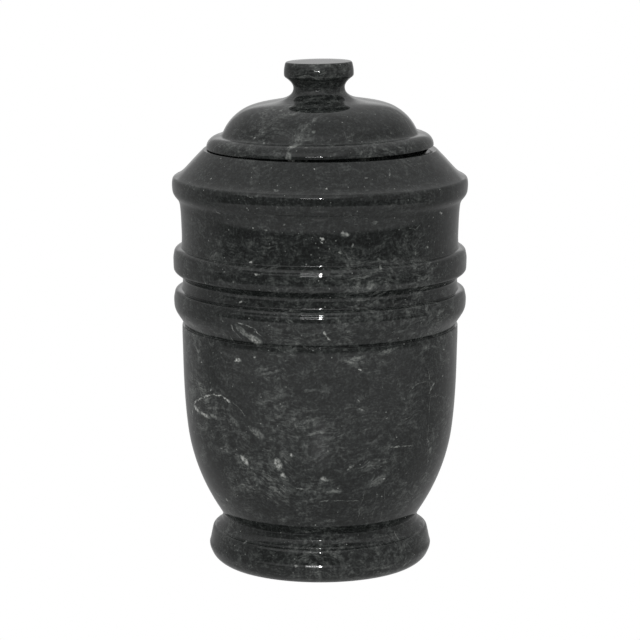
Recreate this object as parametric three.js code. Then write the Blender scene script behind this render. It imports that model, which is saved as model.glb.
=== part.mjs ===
// A cremation urn, turned from marble and polished: a hollow footed vessel, and a lid that lifts off.
// Millimetres, +Z up. The origin is the middle of the flat underside.

import * as THREE from "three";

const upright = 90;
const inwards = 180;

/**
 * One stretch of a turned outline: the radius that it reaches, the rise to that place, and the lean of the
 * outline there in degrees, where 0 runs outwards and 180 runs inwards.
 */
const stretch = (radius, rise, lean = upright) => ({ radius, rise, lean });

// Foot: a full round that stands on a flat underside
const undersideRadius = 60.4;
const undersideLean = 26;
const footUnder = stretch(66.2, 5.4, 65);
const footFace = stretch(67.7, 5.8);
const footSide = stretch(66.5, 6.3, 101);
const footShoulder = stretch(65.3, 2.5, 135);
const footTop = stretch(63.4, 1.3, 168);

// Fillet: a small step on top of the foot
const filletRadius = 63.1;
const filletRise = 0.8;

// Neck: a sloping shelf on top of the foot, then a short waist with a sharp inner corner at each end
const shelfLean = 142;
const shelf = stretch(60.0, 3.3, 124);
const neckLean = 101;
const neck = stretch(59.3, 3.6, 98);

// Belly: springs outwards from the waist and swells to nearly straight sides
const bellyLean = 58;
const bellyFoot = stretch(61.8, 4.3, 57);
const bellyMiddle = stretch(80.5, 50.4, 83);
const bellyTop = stretch(83.2, 47.5, 89);
const bellyRim = stretch(83.4, 15.0, 92);

// Quirk: the sharp inner corner where the belly's upper edge runs in under the lower rib
const quirk = stretch(81.9, 0.2);
const quirkLean = 66;

// Lower rib: a full round
const lowerRibUnder = stretch(84.5, 4.7, 56);
const lowerRibTurn = stretch(87.9, 7.8, 76);
const lowerRibFace = stretch(88.3, 3.2);
const lowerRibTop = stretch(87.8, 4.0, 103);
const lowerRibShoulder = stretch(86.0, 2.1, 155);
const lowerRibShelf = stretch(83.5, 0.4, 172);

// Groove between the two ribs
const grooveLean = 101;
const groove = stretch(82.9, 5.0);

// Upper rib: a flatter face with rounded shoulders
const upperRibUnder = stretch(84.6, 3.3, 42);
const upperRibTurn = stretch(88.1, 4.1, 82);
const upperRibFace = stretch(88.5, 4.3);
const upperRibTop = stretch(88.0, 5.4, 103);
const upperRibShoulder = stretch(86.2, 2.3, 155);
const upperRibShelf = stretch(83.8, 0.7, 172);

// Band: a slightly flared collar above the ribs
const bandLean = 100;
const bandMiddle = stretch(83.5, 11.7, 88);
const bandTop = stretch(84.3, 13.3, 83);

// Shoulder ridge: the widest part of the urn
const ridgeUnder = stretch(86.0, 4.5, 49);
const ridgeTurn = stretch(88.6, 4.8, 75);
const ridgeFace = stretch(89.0, 3.9);
const ridgeShoulder = stretch(88.7, 2.7, 99);
const ridgeTop = stretch(87.6, 1.5, 145);

// Shoulder cone: runs from the ridge's edge up to the rim
const coneLean = 159;
const coneMiddle = stretch(79.4, 6.5, 132);
const rim = stretch(70.0, 9.9, 135);

// Cavity
const wallThickness = 8;
const floorThickness = 9;
const floorCorner = 12;

// Lid: a flange, a low dome, and a knob on a flared neck
const flangeRadius = 68.2;
const flangeEdge = 0.6;
const flangeTop = stretch(65.0, 5.6, 148);
const flangeCove = stretch(60.7, 1.4, 172);
const domeFoot = stretch(56.4, 5.1, 121);
const domeMiddle = stretch(46.8, 9.6, 148);
const domeTop = stretch(25.7, 5.8, 169);
const knobNeck = stretch(15.4, 7.2);
const knobFlare = stretch(20.3, 6.6, 38);
const knobEdge = stretch(20.9, 2.0);
const knobFace = stretch(20.2, 5.8, 95);
const knobCrown = stretch(19.0, 1.2, inwards);

// The plug below the flange drops into the vessel's mouth
const plugRadius = 63.8;
const plugDepth = 8;
const plugChamfer = 1;
const plugClearance = 0.8;

// The lid isn't pressed home: it rests on the rim at the left and stands a little proud at the right
const lidTilt = THREE.MathUtils.degToRad(0.9);
const seatGap = 0.3;

// Facets of the turned surfaces
const facetsAround = 48;
const facetTurn = 30;
const facetLength = 15;

/** The outline of a turned piece, drawn upwards from a starting point. */
class Outline {
  constructor(radius, height) {
    this.points = [new THREE.Vector2(radius, height)];
    this.lean = upright;
  }

  get end() {
    return this.points.at(-1);
  }

  /** Makes a crisp edge: the next stretch leaves with this lean. */
  edge(lean) {
    this.lean = lean;
    return this;
  }

  straight(radius, rise) {
    this.points.push(new THREE.Vector2(radius, this.end.y + rise));
    return this;
  }

  /** A smooth stretch from the lean here to the lean at its end. */
  curve({ radius, rise, lean }) {
    const from = this.end;
    const to = new THREE.Vector2(radius, from.y + rise);
    const chord = from.distanceTo(to);
    const turn = Math.abs(lean - this.lean);
    // This reach makes a cubic follow a circle wherever a circle fits its ends.
    const quarterTurn = THREE.MathUtils.degToRad(turn / 4);
    const reach = chord / (3 * Math.cos(quarterTurn) ** 2);
    const steps = Math.max(Math.ceil(turn / facetTurn), Math.ceil(chord / facetLength));
    const smooth = new THREE.CubicBezierCurve(
      from,
      from.clone().add(direction(this.lean).multiplyScalar(reach)),
      to.clone().sub(direction(lean).multiplyScalar(reach)),
      to,
    );
    this.points.push(...smooth.getPoints(steps).slice(1));
    this.lean = lean;
    return this;
  }

  curves(...stretches) {
    stretches.forEach((each) => this.curve(each));
    return this;
  }
}

function direction(lean) {
  const angle = THREE.MathUtils.degToRad(lean);
  return new THREE.Vector2(Math.cos(angle), Math.sin(angle));
}

/** The points of an outline moved towards the axis and upwards, square to its run. */
function inset(points, distance) {
  return points.map((point, i) => {
    const before = points[Math.max(i - 1, 0)];
    const after = points[Math.min(i + 1, points.length - 1)];
    const run = after.clone().sub(before).normalize();
    return new THREE.Vector2(point.x - distance * run.y, point.y + distance * run.x);
  });
}

/** The radius at which a rising line of points passes a height. */
function radiusAt(points, height) {
  const i = Math.max(1, points.findIndex((point) => point.y > height));
  const [below, above] = [points[i - 1], points[i]];
  const share = (height - below.y) / (above.y - below.y);
  return THREE.MathUtils.lerp(below.x, above.x, share);
}

function turned(points, name, material) {
  const geometry = new THREE.LatheGeometry(points, facetsAround);
  geometry.rotateX(Math.PI / 2);
  const mesh = new THREE.Mesh(geometry, material);
  mesh.name = name;
  return mesh;
}

const mouthRadius = plugRadius + plugClearance;

function vesselOutside() {
  const outline = new Outline(0, 0);
  outline.straight(undersideRadius, 0).edge(undersideLean);
  outline.curves(footUnder, footFace, footSide, footShoulder, footTop);
  outline.straight(filletRadius, filletRise).edge(shelfLean).curve(shelf);
  outline.edge(neckLean).curve(neck);
  outline.edge(bellyLean).curve(bellyFoot);
  const bellyStart = outline.points.length - 1;
  outline.curves(bellyMiddle, bellyTop);
  const belly = outline.points.slice(bellyStart);
  outline.curve(bellyRim).straight(quirk.radius, quirk.rise).edge(quirkLean);
  outline.curves(lowerRibUnder, lowerRibTurn, lowerRibFace);
  outline.curves(lowerRibTop, lowerRibShoulder, lowerRibShelf);
  outline.edge(grooveLean).curve(groove);
  outline.curves(upperRibUnder, upperRibTurn, upperRibFace);
  outline.curves(upperRibTop, upperRibShoulder, upperRibShelf);
  outline.edge(bandLean).curves(bandMiddle, bandTop);
  outline.curves(ridgeUnder, ridgeTurn, ridgeFace, ridgeShoulder, ridgeTop);
  const ridgeEdge = outline.end;
  outline.edge(coneLean).curves(coneMiddle, rim);
  return { points: outline.points, belly, ridgeEdge, rim: outline.end };
}

/** The cavity from the mouth down to the middle of the floor. Its wall is parallel to the belly's outside. */
function cavity({ belly, ridgeEdge, rim }) {
  const narrowest = Math.min(quirk.radius, groove.radius, bandMiddle.radius);
  const radius = narrowest - wallThickness;
  const floor = belly[0].y + floorThickness;
  const wall = inset(belly, wallThickness);
  const cornerRadius = radiusAt(wall, floor);
  const cornerTop = floor + floorCorner;

  // Below the shoulder cone the stone is as thick as the wall
  const [shoulderOut, shoulderIn] = inset([ridgeEdge, rim], wallThickness);
  const slope = (shoulderIn.y - shoulderOut.y) / (shoulderIn.x - shoulderOut.x);
  const lipHeight = shoulderIn.y + slope * (mouthRadius - shoulderIn.x);
  const wallTop = shoulderIn.y + slope * (radius - shoulderIn.x);

  const corner = new THREE.QuadraticBezierCurve(
    new THREE.Vector2(radiusAt(wall, cornerTop), cornerTop),
    new THREE.Vector2(cornerRadius, floor),
    new THREE.Vector2(cornerRadius - floorCorner, floor),
  );
  const side = wall.filter((point) => point.y > cornerTop && point.x < radius);
  return [
    new THREE.Vector2(mouthRadius, rim.y),
    new THREE.Vector2(mouthRadius, lipHeight),
    new THREE.Vector2(radius, wallTop),
    new THREE.Vector2(radius, belly.at(-1).y),
    ...side.reverse(),
    ...corner.getPoints(3),
    new THREE.Vector2(0, floor),
  ];
}

/** The lid's outline, with its height measured from the flange's underside. */
function lidOutline() {
  const outline = new Outline(0, -plugDepth);
  outline.straight(plugRadius - plugChamfer, 0).straight(plugRadius, plugChamfer);
  outline.straight(plugRadius, plugDepth - plugChamfer).straight(flangeRadius, 0);
  outline.straight(flangeRadius, flangeEdge);
  outline.curves(flangeTop, flangeCove);
  outline.curves(domeFoot, domeMiddle, domeTop);
  outline.curves(knobNeck, knobFlare, knobEdge, knobFace, knobCrown);
  outline.straight(0, 0);
  return outline.points;
}

const blackMarble = new THREE.MeshStandardMaterial({ color: 0x2f3231, roughness: 0.12, metalness: 0 });

const outside = vesselOutside();
const vessel = turned([...outside.points, ...cavity(outside)], "urn_body", blackMarble);

const lid = turned(lidOutline(), "urn_lid", blackMarble);
lid.rotation.y = -lidTilt;
lid.position.z = outside.rim.y + seatGap + flangeRadius * Math.sin(lidTilt);

const urn = new THREE.Group();
urn.add(vessel, lid);

export default urn;
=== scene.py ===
"""A cremation urn of polished black marble on a pale studio floor."""

import math

import bpy
import numpy as np
from mathutils import Matrix, Vector


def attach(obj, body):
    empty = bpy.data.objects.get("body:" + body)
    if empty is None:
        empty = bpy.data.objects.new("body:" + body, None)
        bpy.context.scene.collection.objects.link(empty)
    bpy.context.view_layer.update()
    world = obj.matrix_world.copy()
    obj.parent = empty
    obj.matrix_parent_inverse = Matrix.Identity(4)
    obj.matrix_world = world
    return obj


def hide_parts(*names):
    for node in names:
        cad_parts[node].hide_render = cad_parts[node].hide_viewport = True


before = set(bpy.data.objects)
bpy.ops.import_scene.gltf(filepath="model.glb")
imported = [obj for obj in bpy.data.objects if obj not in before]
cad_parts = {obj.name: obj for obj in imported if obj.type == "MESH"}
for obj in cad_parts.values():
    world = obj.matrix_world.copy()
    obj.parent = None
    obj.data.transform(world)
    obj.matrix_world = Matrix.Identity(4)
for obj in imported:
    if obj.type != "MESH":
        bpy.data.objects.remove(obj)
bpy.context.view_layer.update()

# The vessel. One block of black marble, turned on a lathe: foot, waist, belly, two ribs, collar, shoulder
# ridge and cone are all the same stone. It is hollowed through the mouth, its belly to an even wall, and its
# outside is ground and polished.

MM = 0.001
UPRIGHT = 90
INWARDS = 180

# The stretches of the outline, from the underside up, in millimetres and degrees: the radius that each one
# reaches, its rise, and its lean there. A moulding opens with the lean at which it leaves a crisp corner.
UNDERSIDE_RADIUS = 60.4
FOOT_ROUND = ((66.2, 5.4, 65), (67.7, 4.9, 92))
FOOT_BEAD = ((67.4, 1.3, 108), (67.0, 1.5, 100))
FOOT_SHOULDER = ((65.7, 6.3, 103), (65.2, 1.2, 125), (63.4, 0.7, 168))
FOOT = (26, *FOOT_ROUND, *FOOT_BEAD, *FOOT_SHOULDER)
FILLET = (103.4, (63.2, 0.8, 104.7))
SHELF = (142, (60.0, 3.3, 124))
WAIST = (101, (59.3, 3.6, 98))

BELLY_RADIUS = 83.2
BELLY_FOOT = (58, (61.8, 4.3, 57))
BELLY_SIDE = ((80.5, 50.4, 83), (BELLY_RADIUS, 47.5, 89))
BELLY_RIM = (83.4, 15.0, 92)
QUIRK_RADIUS = 81.9
QUIRK_RISE = 0.2

LOWER_RIB_FACE = ((84.5, 4.7, 56), (88.15, 7.8, 86), (88.3, 3.2, UPRIGHT))
LOWER_RIB_BEAD = ((88.2, 1.5, 100), (87.95, 1.2, 108), (87.7, 1.3, 98))
LOWER_RIB_TOP = ((87.2, 1.3, 125), (86.0, 0.8, 155), (83.5, 0.4, 172))
LOWER_RIB = (66, *LOWER_RIB_FACE, *LOWER_RIB_BEAD, *LOWER_RIB_TOP)
GROOVE = ((83.0, 3.4, 93), (82.9, 1.6, UPRIGHT))
UPPER_RIB_FACE = ((84.6, 3.3, 42), (88.35, 4.1, 86), (88.5, 4.3, UPRIGHT))
UPPER_RIB_BEAD = ((88.5, 2.5, 99), (88.25, 1.6, 108), (88.0, 1.3, 98))
UPPER_RIB_TOP = ((87.5, 1.3, 125), (86.2, 1.0, 155), (83.8, 0.7, 172))
GROOVE_AND_UPPER_RIB = (101, *GROOVE, *UPPER_RIB_FACE, *UPPER_RIB_BEAD, *UPPER_RIB_TOP)

COLLAR = ((83.5, 11.7, 88), (84.3, 13.3, 83))
RIDGE = ((86.0, 4.5, 49), (88.75, 4.8, 83), (89.0, 3.9, UPRIGHT), (88.7, 2.7, 99), (87.6, 1.5, 145))
COLLAR_AND_RIDGE = (100, *COLLAR, *RIDGE)
CONE = (159, (79.4, 6.5, 132), (70.0, 9.9, 135))

# The cavity, and the small round that polishing leaves on a crisp corner
MOUTH_RADIUS = 64.6
WALL = 8
FLOOR_THICKNESS = 9
FLOOR_CORNER = 12
WORN_EDGE = 0.45


class Outline:
    """A turned outline, drawn upwards. A lean of 0 runs outwards, and 180 runs inwards."""

    STEP = 0.9
    STRAIGHT_STEP = 7.2

    def __init__(self, radius, height):
        self.points = [Vector((radius, height))]
        self.edges = []
        self.lean = UPRIGHT

    def edge(self, lean=None):
        """Marks a crisp corner here, and the lean of the stretch that leaves it."""
        self.edges.append(len(self.points) - 1)
        if lean is not None:
            self.lean = lean

    def straight(self, radius, rise):
        start = self.points[-1]
        end = Vector((radius, start.y + rise))
        count = max(1, math.ceil((end - start).length / self.STRAIGHT_STEP))
        self.points += [start.lerp(end, i / count) for i in range(1, count + 1)]

    def curve(self, radius, rise, lean):
        """A smooth stretch that follows a circle wherever a circle fits its two ends."""
        start = self.points[-1]
        end = Vector((radius, start.y + rise))
        chord = (end - start).length
        turn = math.radians(abs(lean - self.lean))
        reach = chord / (3 * math.cos(turn / 4) ** 2)
        near = start + reach * heading(self.lean)
        far = end - reach * heading(lean)
        count = max(3, math.ceil(chord / self.STEP))
        for i in range(1, count + 1):
            t = i / count
            self.points.append(
                (1 - t) ** 3 * start + 3 * (1 - t) ** 2 * t * near + 3 * (1 - t) * t**2 * far + t**3 * end
            )
        self.lean = lean

    def curves(self, *stretches):
        for stretch in stretches:
            self.curve(*stretch)

    def moulding(self, lean, *stretches):
        self.edge(lean)
        self.curves(*stretches)

    def softened(self):
        """The points with each crisp corner eased by the small round that polishing leaves."""
        largest_share = 0.45
        made = []
        for i, point in enumerate(self.points):
            if i not in self.edges:
                made.append(point)
                continue
            back = self.points[i - 1] - point
            on = self.points[i + 1] - point
            start = point + back.normalized() * min(WORN_EDGE, largest_share * back.length)
            end = point + on.normalized() * min(WORN_EDGE, largest_share * on.length)
            made += rounded(start, point, end, steps=4)
        return made


def heading(lean):
    return Vector((math.cos(math.radians(lean)), math.sin(math.radians(lean))))


def rounded(start, corner, end, steps):
    """Points along a smooth bend from start to end that leaves out the corner between them."""
    shares = [i / steps for i in range(steps + 1)]
    return [(1 - t) ** 2 * start + 2 * (1 - t) * t * corner + t**2 * end for t in shares]


def inset(points, distance):
    """Points moved towards the axis and upwards, square to the run of the line."""
    moved = []
    for i, point in enumerate(points):
        run = (points[min(i + 1, len(points) - 1)] - points[max(i - 1, 0)]).normalized()
        moved.append(Vector((point.x - distance * run.y, point.y + distance * run.x)))
    return moved


def radius_at(points, height):
    above = next(i for i, point in enumerate(points) if point.y > height)
    low, high = points[max(above - 1, 0)], points[max(above, 1)]
    return low.x + (high.x - low.x) * (height - low.y) / (high.y - low.y)


def turned(name, points, around=200):
    """A closed mesh spun from an outline that starts and ends on the axis, in millimetres."""
    rings = points[1:-1]
    angles = np.linspace(0, 2 * np.pi, around, endpoint=False)
    radii = np.array([point.x for point in rings])[:, None]
    heights = np.array([point.y for point in rings])[:, None] + 0 * angles[None]
    grid = np.stack([radii * np.cos(angles), radii * np.sin(angles), heights], -1).reshape(-1, 3)
    ends = np.array([(0, 0, points[0].y), (0, 0, points[-1].y)])
    vertices = np.concatenate([grid, ends]) * MM
    faces = []
    for ring in range(len(rings) - 1):
        for i in range(around):
            j = (i + 1) % around
            low, high = ring * around, (ring + 1) * around
            faces.append((low + i, low + j, high + j, high + i))
    first, last = len(grid), len(grid) + 1
    top = (len(rings) - 1) * around
    for i in range(around):
        j = (i + 1) % around
        faces.append((first, j, i))
        faces.append((last, top + i, top + j))
    mesh = bpy.data.meshes.new(name)
    mesh.from_pydata(vertices.tolist(), [], faces)
    mesh.polygons.foreach_set("use_smooth", [True] * len(mesh.polygons))
    mesh.update()
    piece = bpy.data.objects.new(name, mesh)
    bpy.context.scene.collection.objects.link(piece)
    return piece


def vessel_points():
    line = Outline(0, 0)
    line.straight(UNDERSIDE_RADIUS, 0)
    for each in (FOOT, FILLET, SHELF, WAIST, BELLY_FOOT):
        line.moulding(*each)
    belly_start = len(line.points) - 1
    line.curves(*BELLY_SIDE)
    belly = line.points[belly_start:]
    line.curve(*BELLY_RIM)
    line.edge()
    line.straight(QUIRK_RADIUS, QUIRK_RISE)
    for each in (LOWER_RIB, GROOVE_AND_UPPER_RIB, COLLAR_AND_RIDGE):
        line.moulding(*each)
    ridge_edge = line.points[-1]
    line.moulding(*CONE)
    rim = line.points[-1]
    line.edge()

    # The cavity: in through the mouth, down the wall, round its corner and across the floor
    bore = QUIRK_RADIUS - WALL
    floor = belly[0].y + FLOOR_THICKNESS
    wall = inset(belly, WALL)
    out, into = inset([ridge_edge, rim], WALL)
    slope = (into.y - out.y) / (into.x - out.x)
    line.straight(MOUTH_RADIUS, 0)
    line.edge()
    line.straight(MOUTH_RADIUS, into.y + slope * (MOUTH_RADIUS - into.x) - rim.y)
    line.edge()
    line.straight(bore, slope * (bore - MOUTH_RADIUS))
    line.straight(bore, belly[-1].y - line.points[-1].y)
    corner_top = floor + FLOOR_CORNER

    # The side follows the belly, but coarsely, as it is out of sight
    side = [point for point in reversed(wall) if point.y > corner_top and point.x < bore]
    line.points += side[::6]
    above = Vector((radius_at(wall, corner_top), corner_top))
    corner = Vector((radius_at(wall, floor), floor))
    line.points += rounded(above, corner, corner - Vector((FLOOR_CORNER, 0)), steps=7)
    line.straight(0, 0)
    return line.softened()


def linear(hex_colour):
    """An sRGB hex colour as the linear values that a shader takes."""
    parts = [int(hex_colour[i : i + 2], 16) / 255 for i in (1, 3, 5)]
    return tuple(c / 12.92 if c <= 0.04045 else ((c + 0.055) / 1.055) ** 2.4 for c in parts) + (1,)


def node(tree, kind, settings=None, **inputs):
    """Adds a shader node. An input given a node or a socket is linked, and any other value is set."""
    made = tree.nodes.new(kind)
    for name, value in (settings or {}).items():
        setattr(made, name, value)
    for key, value in inputs.items():
        socket = made.inputs[int(key[1:]) if key[1:].isdigit() else key.replace("_", " ")]
        if isinstance(value, bpy.types.Node):
            value = value.outputs[0]
        if isinstance(value, bpy.types.NodeSocket):
            tree.links.new(value, socket)
        else:
            socket.default_value = value
    return made


def shifted(tree, space, noise, reach):
    """The space with each place moved along each axis by up to reach, as much as the noise says."""
    return node(
        tree,
        "ShaderNodeVectorMath",
        {"operation": "MULTIPLY_ADD"},
        _0=noise.outputs["Color"],
        _1=reach,
        _2=space,
    )


def blot(tree, sheet, centre, half_length, half_width, turn, strength, core):
    """One soft ellipse on the sheet: full out to its core, a share of its size, then fading to its edge."""
    ball = node(tree, "ShaderNodeTexGradient", {"gradient_type": "SPHERICAL"}, Vector=sheet)
    ball.texture_mapping.vector_type = "TEXTURE"
    ball.texture_mapping.translation = (*centre, 0)
    ball.texture_mapping.rotation = (0, 0, turn)
    ball.texture_mapping.scale = (half_length, half_width, 1)
    return node(
        tree,
        "ShaderNodeMapRange",
        {"interpolation_type": "SMOOTHSTEP"},
        Value=ball.outputs[1],
        From_Max=1 - core,
        To_Max=strength,
    )


def gathered(tree, sheet, patches, threads, place, core):
    """The strongest of many patches and threads at each spot of the sheet, on which place puts them."""
    overlap = 0.72
    drawn = []
    for across, up, half_length, half_width, degrees, strength in patches:
        drawn.append((place(across, up), half_length, half_width, math.radians(degrees), strength))
    for half_width, strength, route in threads:
        spots = [place(*spot) for spot in route]
        for start, end in zip(spots, spots[1:]):
            run = end - start
            turn = math.atan2(run.y, run.x)
            drawn.append(((start + end) / 2, overlap * run.length, half_width, turn, strength))
    most = None
    for details in drawn:
        one = blot(tree, sheet, *details, core)
        if most is None:
            most = one
        else:
            most = node(tree, "ShaderNodeMath", {"operation": "MAXIMUM"}, _0=most, _1=one)
    return most


def set_stops(ramp, stops):
    """Gives a colour ramp its stops, as pairs of a place and a linear colour."""
    for at, _ in stops[1:-1]:
        ramp.elements.new(at)
    for stop, (at, colour) in zip(ramp.elements, stops):
        stop.position = at
        stop.color = colour


# Polished black marble takes a mirror gloss, which shows the studio in every round. Its ground is near black,
# clouded with grey, and the white in it is calcite: flecks, crumbly patches and hairline threads.
MARBLE_SHADES = ((0, "#161817"), (0.15, "#2a2d2c"), (0.35, "#505351"), (0.65, "#8c8f8b"), (1, "#d6d7d3"))


def polished_black_marble(name, offset, sheet_of, place, clouds, patches, threads):
    """The marble of one block: its pattern starts at offset, and its features lie where place puts them."""
    material = bpy.data.materials.new(name)
    material.use_nodes = True
    tree = material.node_tree
    tree.nodes.clear()
    stone = node(tree, "ShaderNodeTexCoord").outputs["Object"]
    in_mm = node(tree, "ShaderNodeMapping", Vector=stone, Location=offset, Scale=(1 / MM, 1 / MM, 1 / MM))

    # Folds of 50 mm and ripples of 11 mm bend the grey clouds, the bedding, the mottling, flecks and veins
    fold = node(tree, "ShaderNodeTexNoise", Vector=in_mm, Scale=1 / 50, Detail=2)
    folded = shifted(tree, in_mm, fold, (26, 26, 26))
    ripple = node(tree, "ShaderNodeTexNoise", Vector=in_mm, Scale=1 / 11, Detail=2)
    bent = shifted(tree, folded, ripple, (9, 9, 9))

    # Grain. The real crystals are under 1 mm, and are drawn at 1.5 mm so that they show. It also crumbles the
    # edges of clouds, patches, threads and flecks.
    grain = node(tree, "ShaderNodeTexNoise", Vector=in_mm, Scale=1 / 1.5, Detail=3, Roughness=0.6)

    # The features of this block: lighter and darker clouds, then patches and threads. Their edges fray over
    # 3.2 mm and crumble over 1.6 mm, and half of that is taken off again so that nothing moves on average.
    sheet = sheet_of(tree, stone)
    fray = node(tree, "ShaderNodeTexNoise", Vector=sheet, Scale=1 / 4, Detail=3)
    frayed = shifted(tree, sheet, fray, (3.2, 3.2, 0))
    crumbled = shifted(tree, frayed, grain, (1.6, 1.6, 0))
    centred = node(
        tree, "ShaderNodeVectorMath", {"operation": "SUBTRACT"}, _0=crumbled, _1=(2.4, 2.4, 0)
    )
    lighter = [each for each in clouds if each[-1] > 0]
    darker = [(*each[:-1], -each[-1]) for each in clouds if each[-1] < 0]
    light_zones = gathered(tree, centred, lighter, [], place, core=0.2)
    dark_zones = gathered(tree, centred, darker, [], place, core=0.2)
    drawn = gathered(tree, centred, patches, threads, place, core=0.35)

    # Grey clouds 40 mm across
    haze = node(tree, "ShaderNodeTexNoise", Vector=bent, Scale=1 / 40, Detail=5, Roughness=0.62)
    hazed = node(tree, "ShaderNodeMapRange", Value=haze, From_Min=0.4, From_Max=0.66)
    hazed = node(tree, "ShaderNodeMath", {"operation": "ADD"}, _0=hazed, _1=light_zones)
    hazed = node(
        tree, "ShaderNodeMath", {"operation": "SUBTRACT", "use_clamp": True}, _0=hazed, _1=dark_zones
    )

    # Bedding: streaks 9 mm long and under 1 mm thick, dipping a little to the right
    bed_space = node(
        tree,
        "ShaderNodeMapping",
        Vector=bent,
        Rotation=(0.05, 0.09, 0),
        Scale=(1 / 9, 1 / 9, 1 / 0.9),
    )
    bed = node(tree, "ShaderNodeTexNoise", Vector=bed_space, Scale=1, Detail=4, Roughness=0.6)
    bedded = node(tree, "ShaderNodeMapRange", Value=bed, From_Min=0.43, From_Max=0.7, To_Max=0.8)

    # The grain's own tone, and mottling of 4.5 mm
    grained = node(tree, "ShaderNodeMapRange", Value=grain, From_Min=0.38, From_Max=0.68)
    mottle = node(tree, "ShaderNodeTexNoise", Vector=bent, Scale=1 / 4.5, Detail=4, Roughness=0.68)
    mottled = node(tree, "ShaderNodeMapRange", Value=mottle, From_Min=0.4, From_Max=0.66)

    # Ground tone: the grain shows everywhere, and the bedding and mottling most inside the grey clouds
    shown = node(tree, "ShaderNodeMapRange", Value=hazed, To_Min=0.38, To_Max=1.15)
    body = node(tree, "ShaderNodeMath", {"operation": "ADD"}, _0=bedded, _1=mottled)
    body = node(tree, "ShaderNodeMath", {"operation": "MULTIPLY"}, _0=body, _1=shown)
    body = node(tree, "ShaderNodeMath", {"operation": "MULTIPLY_ADD"}, _0=grained, _1=0.6, _2=body)
    ground = node(
        tree, "ShaderNodeMath", {"operation": "MULTIPLY_ADD", "use_clamp": True}, _0=body, _1=0.32, _2=-0.05
    )

    # Flecks of white calcite: one in each cell 8 mm wide and 5 mm high, most of them too small to see
    crumbs = shifted(tree, bent, grain, (3, 3, 2.2))
    fleck_space = node(tree, "ShaderNodeMapping", Vector=crumbs, Scale=(1 / 8, 1 / 8, 1 / 5))
    flecks = node(tree, "ShaderNodeTexVoronoi", Vector=fleck_space, Scale=1)
    fleck_size = node(tree, "ShaderNodeSeparateColor", Color=flecks.outputs["Color"])
    fleck_radius = node(
        tree, "ShaderNodeMapRange", Value=fleck_size.outputs["Red"], From_Min=0.78, To_Min=0, To_Max=0.2
    )
    inside = node(
        tree, "ShaderNodeMath", {"operation": "SUBTRACT"}, _0=fleck_radius, _1=flecks.outputs["Distance"]
    )
    flecked = node(tree, "ShaderNodeMapRange", Value=inside, From_Max=0.08, To_Max=0.85)

    # Pinprick specks: one in each 2.6 mm cell
    specks = node(tree, "ShaderNodeTexVoronoi", Vector=in_mm, Scale=1 / 2.6)
    speck_size = node(tree, "ShaderNodeSeparateColor", Color=specks.outputs["Color"])
    speck_radius = node(
        tree, "ShaderNodeMapRange", Value=speck_size.outputs["Green"], From_Min=0.55, To_Min=0, To_Max=0.26
    )
    inside = node(
        tree, "ShaderNodeMath", {"operation": "SUBTRACT"}, _0=speck_radius, _1=specks.outputs["Distance"]
    )
    specked = node(tree, "ShaderNodeMapRange", Value=inside, From_Max=0.16, To_Max=0.7)

    # Hairline veins follow the middle value of a broad noise, and come and go with the mottling
    vein = node(tree, "ShaderNodeTexNoise", Vector=bent, Scale=1 / 34, Detail=3, Roughness=0.5)
    off_vein = node(tree, "ShaderNodeMath", {"operation": "SUBTRACT"}, _0=vein, _1=0.5)
    off_vein = node(tree, "ShaderNodeMath", {"operation": "ABSOLUTE"}, _0=off_vein)
    veined = node(tree, "ShaderNodeMapRange", Value=off_vein, From_Max=0.004, To_Min=0.5, To_Max=0)
    veined = node(tree, "ShaderNodeMath", {"operation": "MULTIPLY"}, _0=veined, _1=mottled)

    # Calcite is crystalline, so its patches are broken up by the grain
    broken = node(tree, "ShaderNodeMapRange", Value=grain, From_Min=0.3, From_Max=0.6, To_Min=0.35)
    drawn = node(tree, "ShaderNodeMath", {"operation": "MULTIPLY"}, _0=drawn, _1=broken)
    calcite = node(tree, "ShaderNodeMath", {"operation": "MAXIMUM"}, _0=flecked, _1=specked)
    calcite = node(tree, "ShaderNodeMath", {"operation": "MAXIMUM"}, _0=calcite, _1=veined)
    calcite = node(tree, "ShaderNodeMath", {"operation": "MAXIMUM"}, _0=calcite, _1=drawn)
    tone = node(tree, "ShaderNodeMath", {"operation": "MAXIMUM"}, _0=ground, _1=calcite)

    colour = node(tree, "ShaderNodeValToRGB", Fac=tone)
    set_stops(colour.color_ramp, [(at, linear(shade)) for at, shade in MARBLE_SHADES])

    # Calcite takes a slightly duller polish than the ground. The lathe leaves waves of 7 mm, 0.03 mm deep.
    gloss = node(tree, "ShaderNodeMapRange", Value=tone, To_Min=0.03, To_Max=0.11)
    waves = node(tree, "ShaderNodeTexNoise", Vector=in_mm, Scale=1 / 7, Detail=2)
    bump = node(tree, "ShaderNodeBump", Height=waves, Strength=1, Distance=0.03 * MM)
    bsdf = node(
        tree, "ShaderNodeBsdfPrincipled", Base_Color=colour, Roughness=gloss, IOR=1.5, Normal=bump
    )
    node(tree, "ShaderNodeOutputMaterial", Surface=bsdf)
    return material


def unrolled(tree, stone):
    """The vessel's side as a flat sheet in millimetres: across from the front's middle, and up."""
    parts = node(tree, "ShaderNodeSeparateXYZ", Vector=stone)
    front = node(tree, "ShaderNodeMath", {"operation": "MULTIPLY"}, _0=parts.outputs["Y"], _1=-1)
    azimuth = node(tree, "ShaderNodeMath", {"operation": "ARCTAN2"}, _0=parts.outputs["X"], _1=front)
    across = node(tree, "ShaderNodeMath", {"operation": "MULTIPLY"}, _0=azimuth, _1=BELLY_RADIUS)
    up = node(tree, "ShaderNodeMath", {"operation": "DIVIDE"}, _0=parts.outputs["Z"], _1=MM)
    return node(tree, "ShaderNodeCombineXYZ", X=across, Y=up).outputs[0]


def on_vessel(degrees, height):
    return Vector((math.radians(degrees) * BELLY_RADIUS, height))


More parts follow.
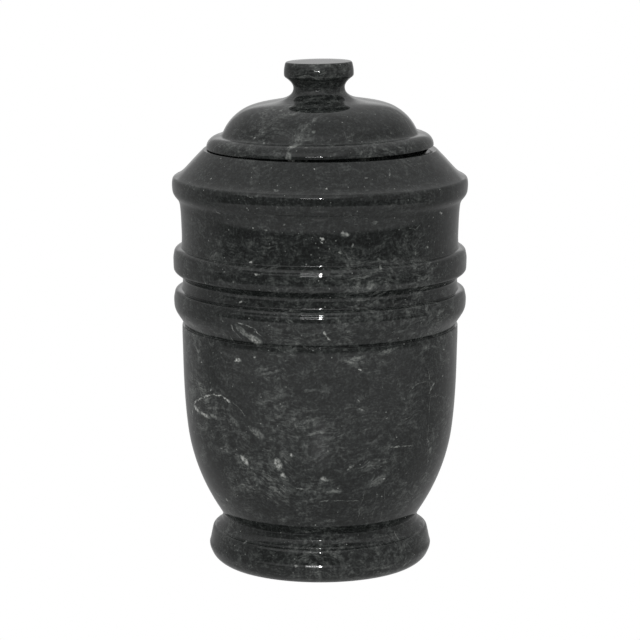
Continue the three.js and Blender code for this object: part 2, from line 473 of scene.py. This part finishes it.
# Clouds and patches: degrees round from the front, height, half length, half width, turn in degrees and
# strength, which is below 0 for a darker cloud. Threads: half width, strength, and the places that the
# thread runs through, in degrees round and height.
VESSEL_CLOUDS = [
    (-8, 92, 34, 24, 0, 0.55),
    (-14, 132, 30, 7, 12, 0.5),
    (15, 139, 16, 4, 8, 0.6),
    (-30, 72, 26, 7, -28, 0.75),
    (28, 66, 12, 8, 20, 0.6),
    (3, 64, 18, 6, -14, 0.6),
    (-45, 81, 10, 9, 0, 0.4),
    (-40, 100, 22, 7, -30, 0.4),
    (44, 180, 16, 26, 20, 0.5),
    (47, 140, 14, 10, 0, 0.4),
    (56, 84, 8, 16, 0, 0.5),
    (14, 165, 20, 6, 16, 0.4),
    (-50, 128, 16, 18, 0, -0.7),
    (-56, 60, 16, 16, -20, -0.8),
    (46, 66, 15, 18, 20, -0.7),
    (-24, 48, 26, 8, -6, -0.5),
    (26, 116, 14, 14, 0, -0.3),
    (0, 232, 420, 38, 0, -0.6),
]
VESSEL_PATCHES = [
    (-27, 150, 7, 4.2, -32, 0.85),
    (-31, 154, 9, 3.6, -42, 0.6),
    (10, 213, 4, 2.3, -15, 0.85),
    (-35, 136, 3.4, 1.6, 5, 1.0),
    (-27, 139.5, 1.2, 0.8, 0, 0.9),
    (-34, 76, 6, 2.8, -48, 1.0),
    (-18, 76, 4.0, 5.4, 20, 0.95),
    (-16, 69, 3.2, 2.2, -20, 0.9),
    (-12, 82, 1.3, 2.0, 0, 0.95),
    (-54, 45, 1.8, 2.0, 0, 1.0),
    (-60, 117, 1.0, 2.6, 10, 0.7),
    (15, 140, 7, 2.2, 8, 0.65),
    (17, 109, 3.2, 0.8, -24, 0.75),
    (2, 67, 3.8, 2.4, -10, 0.8),
    (5, 59, 6, 1.8, 14, 0.6),
    (-9, 61, 5, 0.9, -4, 0.75),
    (-27, 94, 9, 3.6, -28, 0.55),
    (-38, 99, 8, 3, -34, 0.5),
    (-50, 99.5, 7, 2, -8, 0.65),
    (27, 64, 7, 4.5, 25, 0.5),
    (13, 74, 5, 1.5, 28, 0.6),
    (56, 77, 3, 3.4, 0, 0.6),
    (36, 113, 2.2, 1.2, -20, 0.65),
    (-23, 66, 8, 1.8, -22, 0.5),
    (-44, 21, 1.4, 0.9, 0, 0.7),
    (-12, 12, 2.2, 1.2, 0, 0.75),
    (-13, 16, 1.0, 0.7, 0, 0.7),
    (50, 6, 3.2, 1.2, 40, 0.6),
    (34, 21, 1.5, 0.8, 0, 0.6),
    (20, 244, 2.4, 0.7, 10, 0.7),
    (-17, 238, 2.4, 0.8, 0, 0.6),
    (-27, 234, 2.6, 0.7, -10, 0.6),
    (-24, 189, 2.2, 0.9, 0, 0.8),
    (24, 193, 2.4, 0.9, 25, 0.75),
    (15, 189.5, 1.2, 0.6, 0, 0.6),
    (18, 189.3, 1.2, 0.6, 0, 0.6),
    (-11, 168, 2.0, 0.8, 0, 0.7),
    (22, 219, 4, 1.4, 0, 0.5),
    (13, 206, 1.0, 1.4, 20, 0.6),
    (8, 202, 2.0, 0.8, 0, 0.7),
    (-44, 222, 3, 1.0, -24, 0.6),
    (-14, 218, 1.4, 0.9, 0, 0.65),
    (-22, 214, 1.6, 0.9, 0, 0.6),
    (42, 199, 1.2, 3.0, 0, 0.7),
    (49, 201, 1.2, 0.9, 0, 0.7),
    (-29, 64, 7, 2.4, -20, 0.5),
    (-21, 60, 6, 2.0, -10, 0.55),
    (7, 59, 6, 2.4, 10, 0.6),
    (-17, 117, 9, 2.6, 14, 0.4),
    (-4, 121, 6, 1.6, 10, 0.4),
    (-22, 130, 8, 1.6, 16, 0.45),
    (29, 143, 12, 1.8, 12, 0.5),
    (-50, 79, 6, 4, -40, 0.35),
    (-20, 38, 6, 2, 0, 0.5),
    (5, 39, 8, 1.6, 0, 0.45),
]
VESSEL_THREADS = [
    (0.7, 1.0, [(-67, 102), (-63, 106), (-57, 109), (-50, 113), (-44, 113), (-39, 110)]),
    (1.8, 1.0, [(-67, 102), (-61, 99), (-53, 98)]),
    (0.5, 0.8, [(-67, 102), (-70, 95), (-72, 88)]),
    (0.4, 0.6, [(-44, 113), (-39, 111), (-35, 108), (-32, 103)]),
    (0.4, 0.6, [(50, 131), (52, 113), (52, 96), (52, 87), (54, 78), (56, 66), (62, 49), (65, 41)]),
    (0.4, 0.65, [(39, 115), (40, 118), (42, 120), (45, 121), (50, 121)]),
    (0.6, 0.8, [(51, 113), (53, 117), (55, 119)]),
    (0.4, 0.5, [(52, 110), (55, 111), (59, 110), (65, 107)]),
    (0.45, 0.75, [(30, 84), (36, 84), (43, 83)]),
    (0.4, 0.55, [(21, 59), (20, 49), (20, 38)]),
    (0.35, 0.45, [(27, 58), (28, 48), (28, 37)]),
    (0.35, 0.45, [(31, 59), (33, 47), (34, 36)]),
    (0.4, 0.65, [(-1, 52), (5, 53), (12, 52.5), (19, 51.5)]),
    (0.5, 0.75, [(-36, 158), (-35, 153), (-33, 149)]),
    (0.5, 0.75, [(-33, 160), (-30, 159), (-26, 157), (-23, 152)]),
    (0.45, 0.6, [(-39, 151), (-38, 147)]),
    (0.4, 0.5, [(-18, 145.5), (-13, 143), (-9, 141)]),
    (0.5, 0.55, [(38, 213), (42, 213), (44, 215)]),
    (0.5, 0.5, [(48, 210), (45, 208), (43, 205), (41, 202), (41, 198)]),
    (0.6, 0.4, [(23, 165), (30, 168), (37, 173), (45, 176)]),
    (0.5, 0.7, [(32.5, 249), (32, 246), (30.5, 243)]),
    (0.8, 0.9, [(1.5, 157), (2.3, 154), (4.4, 150.5)]),
    (0.7, 0.75, [(49, 26), (47, 20)]),
    (0.4, 0.5, [(23, 74), (25, 72), (28, 73)]),
]

vessel = turned("vessel", vessel_points())
vessel.data.materials.append(
    polished_black_marble(
        "polished black marble, vessel",
        (0, 0, 0),
        unrolled,
        on_vessel,
        VESSEL_CLOUDS,
        VESSEL_PATCHES,
        VESSEL_THREADS,
    )
)
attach(vessel, "root")
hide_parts("urn_body")

# The lid. A second block of the same marble, turned: a flange that laps the rim, a low dome and a knob on a
# flared neck, with a plug below that drops into the mouth. It is set down slightly askew, proud at the right.

PLUG_CLEARANCE = 0.8
PLUG_RADIUS = MOUTH_RADIUS - PLUG_CLEARANCE
PLUG_DEPTH = 8
PLUG_CHAMFER = 1
FLANGE_RADIUS = 68.2
FLANGE_EDGE = 0.6
FLANGE_TOP = ((65.0, 5.6, 148), (60.7, 1.4, 172))
DOME = ((56.4, 5.1, 121), (46.8, 9.6, 148), (25.7, 5.8, 169))
KNOB_NECK = ((15.4, 7.2, UPRIGHT), (20.3, 6.6, 38))
KNOB = ((20.9, 2.0, UPRIGHT), (20.8, 2.4, 95), (20.2, 3.4, 102), (19.0, 1.2, INWARDS))
LID_TILT = math.radians(0.9)
SEAT_GAP = 0.3


def lid_points():
    line = Outline(0, -PLUG_DEPTH)
    line.straight(PLUG_RADIUS - PLUG_CHAMFER, 0)
    line.straight(PLUG_RADIUS, PLUG_CHAMFER)
    line.straight(PLUG_RADIUS, PLUG_DEPTH - PLUG_CHAMFER)
    line.straight(FLANGE_RADIUS, 0)
    line.edge()
    line.straight(FLANGE_RADIUS, FLANGE_EDGE)
    line.curves(*FLANGE_TOP, *DOME, *KNOB_NECK, *KNOB)
    line.straight(0, 0)
    return line.softened()


def seen_from_above(tree, stone):
    """The lid's plan as a flat sheet in millimetres: to the right, and back."""
    flat = node(
        tree, "ShaderNodeVectorMath", {"operation": "MULTIPLY"}, _0=stone, _1=(1 / MM, 1 / MM, 0)
    )
    return flat.outputs[0]


def on_lid(right, back):
    return Vector((right, back))


# As on the vessel, but each place is a distance to the right and a distance back from the middle
LID_CLOUDS = [(-11, -56, 10, 8, 30, 0.7), (-26, -44, 20, 12, 30, 0.3), (24, -40, 20, 16, 0, -0.3)]
LID_PATCHES = [
    (-16, -61, 6, 2.6, 35, 0.8),
    (-18, -66, 3, 2, 0, 0.6),
    (-4, -55, 2, 1.2, 0, 0.6),
    (-27, -30, 1.6, 1.0, 0, 0.8),
    (-8, -64, 2.2, 1, 0, 0.5),
    (-13, -58, 8, 4, 40, 0.5),
]
LID_THREADS = [
    (2.2, 0.4, [(0, -46), (-6, -50), (-11, -55), (-15, -60), (-19, -65)]),
    (0.7, 0.55, [(0, -46), (-6, -50), (-11, -55), (-15, -60), (-19, -65)]),
    (0.5, 0.7, [(44, -16), (50, -16), (56, -19)]),
    (0.4, 0.45, [(14, -53), (16, -56), (19, -55), (18, -52)]),
]

lid = turned("lid", lid_points())
rim_height = max(point.y for point in vessel_points())
flange_height = rim_height + SEAT_GAP + FLANGE_RADIUS * math.sin(LID_TILT)
lid.data.transform(
    Matrix.Translation((0, 0, flange_height * MM)) @ Matrix.Rotation(-LID_TILT, 4, "Y")
)
lid.data.materials.append(
    polished_black_marble(
        "polished black marble, lid",
        (310, 70, -40),
        seen_from_above,
        on_lid,
        LID_CLOUDS,
        LID_PATCHES,
        LID_THREADS,
    )
)
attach(lid, "root")
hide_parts("urn_lid")

# The studio. A pale paper floor, a dark room behind the camera with a large soft light above it, a white
# backdrop behind the urn, and a strip and a small bulb that put a streak and a spark on each round.

FLOOR_HALF = 6
PAPER_REACH = 2
URN_MIDDLE = Vector((0, 0, 0.16))


def studio_floor():
    mesh = bpy.data.meshes.new("floor")
    corners = ((-1, -1), (1, -1), (1, 1), (-1, 1))
    mesh.from_pydata([(x * FLOOR_HALF, y * FLOOR_HALF, 0) for x, y in corners], [], [(0, 1, 2, 3)])
    floor = bpy.data.objects.new("floor", mesh)
    bpy.context.scene.collection.objects.link(floor)
    mesh.materials.append(pale_paper())
    return floor


def greys(*stops):
    """Stops of plain grey, each given as a place and a level of light."""
    return [(at, (level, level, level, 1)) for at, level in stops]


def pale_paper():
    """White paper whose light is painted on as a glow: plain white where the camera sees it, and for the
    stone's reflections a painted light that is bright near the urn and falls off into a darker room in front.
    """
    material = bpy.data.materials.new("pale paper")
    material.use_nodes = True
    tree = material.node_tree
    tree.nodes.clear()
    spot = node(tree, "ShaderNodeTexCoord").outputs["Object"]
    # Painted light for the stone's reflections: a grey glow that changes with distance from the urn, one ramp
    # in front and one behind
    away = node(tree, "ShaderNodeVectorMath", {"operation": "LENGTH"}, _0=spot)
    reach = node(tree, "ShaderNodeMapRange", Value=away.outputs["Value"], From_Max=PAPER_REACH)
    in_front = node(tree, "ShaderNodeValToRGB", Fac=reach)
    set_stops(in_front.color_ramp, greys((0, 0.42), (0.15, 0.55), (0.4, 0.62), (0.45, 0.16)))
    behind = node(tree, "ShaderNodeValToRGB", Fac=reach)
    set_stops(behind.color_ramp, greys((0, 0.34), (0.2, 0.32), (1, 0.34)))
    place = node(tree, "ShaderNodeSeparateXYZ", Vector=spot)
    backwards = node(
        tree, "ShaderNodeMapRange", Value=place.outputs["Y"], From_Min=-0.25, From_Max=0.05
    )
    lit = node(
        tree, "ShaderNodeMix", {"data_type": "RGBA"}, Factor=backwards, _6=in_front, _7=behind
    )

    # A soft glare from the lamp in front, painted on the paper as a lighter blot
    painted_glare = blot(tree, spot, (0, -0.28), 0.15, 0.05, math.radians(90), strength=1, core=0)
    lit = node(
        tree,
        "ShaderNodeMix",
        {"data_type": "RGBA"},
        Factor=painted_glare,
        _6=lit.outputs[2],
        _7=linear("#ffffff"),
    )
    # The painted light glows as emission for every ray but the camera's, which sees plain white
    painted_bounce = node(tree, "ShaderNodeEmission", Color=lit.outputs[2], Strength=1)
    seen = node(tree, "ShaderNodeEmission", Color=linear("#ffffff"), Strength=1)
    camera_sees = node(tree, "ShaderNodeLightPath").outputs["Is Camera Ray"]
    paper = node(tree, "ShaderNodeMixShader", Fac=camera_sees, _1=painted_bounce, _2=seen)
    node(tree, "ShaderNodeOutputMaterial", Surface=paper)
    return material


studio_floor()


def light_tent():
    """Soft light from all round: a bright bank in front above the camera, and a white backdrop behind."""
    world = bpy.data.worlds.new("light tent")
    bpy.context.scene.world = world
    world.use_nodes = True
    tree = world.node_tree
    tree.nodes.clear()
    way = node(tree, "ShaderNodeTexCoord").outputs["Generated"]
    parts = node(tree, "ShaderNodeSeparateXYZ", Vector=way)
    height = parts.outputs["Z"]
    dark_room_and_bank = greys((0, 0.17), (0.19, 0.2), (0.3, 0.85), (0.7, 0.95), (0.85, 0.66), (1, 0.6))
    front = node(tree, "ShaderNodeValToRGB", Fac=height)
    set_stops(front.color_ramp, dark_room_and_bank)
    side = node(tree, "ShaderNodeValToRGB", Fac=height)
    set_stops(side.color_ramp, greys((0, 0.34), (0.5, 0.38), (0.8, 0.6), (1, 0.6)))
    back = node(tree, "ShaderNodeValToRGB", Fac=height)
    set_stops(back.color_ramp, greys((0.12, 0.55), (0.2, 0.9), (0.8, 0.62), (1, 0.6)))

    # In front the bank spans from the far left to a little right of the middle
    towards_right = node(
        tree,
        "ShaderNodeMapRange",
        {"interpolation_type": "SMOOTHSTEP"},
        Value=parts.outputs["X"],
        From_Min=0.1,
        From_Max=0.6,
    )
    dimmed = node(
        tree, "ShaderNodeMix", {"data_type": "RGBA"}, Factor=towards_right, _6=front, _7=side
    )
    to_side = node(
        tree,
        "ShaderNodeMapRange",
        {"interpolation_type": "SMOOTHSTEP"},
        Value=parts.outputs["Y"],
        From_Min=-0.5,
        From_Max=-0.1,
    )
    to_back = node(
        tree,
        "ShaderNodeMapRange",
        {"interpolation_type": "SMOOTHSTEP"},
        Value=parts.outputs["Y"],
        From_Min=0.93,
        From_Max=0.985,
    )
    around = node(
        tree, "ShaderNodeMix", {"data_type": "RGBA"}, Factor=to_side, _6=dimmed.outputs[2], _7=side
    )
    around = node(
        tree, "ShaderNodeMix", {"data_type": "RGBA"}, Factor=to_back, _6=around.outputs[2], _7=back
    )
    background = node(tree, "ShaderNodeBackground", Color=around.outputs[2], Strength=1.0)
    node(tree, "ShaderNodeOutputWorld", Surface=background)


light_tent()


def soft_light(name, azimuth, elevation, distance, width, height, radiance):
    """A rectangular lamp that faces the urn. An azimuth of 0 is in front, and positive is to the right."""
    data = bpy.data.lights.new(name, "AREA")
    data.shape = "RECTANGLE"
    data.size = width
    data.size_y = height
    data.energy = radiance * math.pi * width * height
    lamp = bpy.data.objects.new(name, data)
    a, e = math.radians(azimuth), math.radians(elevation)
    way = Vector((math.sin(a) * math.cos(e), -math.cos(a) * math.cos(e), math.sin(e)))
    lamp.location = URN_MIDDLE + distance * way
    lamp.rotation_euler = (URN_MIDDLE - lamp.location).to_track_quat("-Z", "Y").to_euler()
    bpy.context.scene.collection.objects.link(lamp)
    return lamp


soft_light("front strip", azimuth=-6, elevation=13, distance=1.7, width=0.5, height=0.03, radiance=20)
soft_light("front bulb", azimuth=0.5, elevation=13, distance=1.69, width=0.06, height=0.035, radiance=300)

# The camera looks a little down on the urn through a long lens, raised by half a pixel of its 640
CAMERA_PLACE = (0, -1.6391, 0.4448)
CAMERA_DIP = 10.28
LENS = 154.35
HALF_A_PIXEL = 0.5 / 640

scene = bpy.context.scene
scene.view_settings.view_transform = "Standard"
camera_data = bpy.data.cameras.new("camera")
camera_data.lens = LENS
camera_data.shift_y = HALF_A_PIXEL
camera = bpy.data.objects.new("camera", camera_data)
camera.location = CAMERA_PLACE
camera.rotation_euler = (math.radians(90 - CAMERA_DIP), 0, 0)
scene.collection.objects.link(camera)
scene.camera = camera
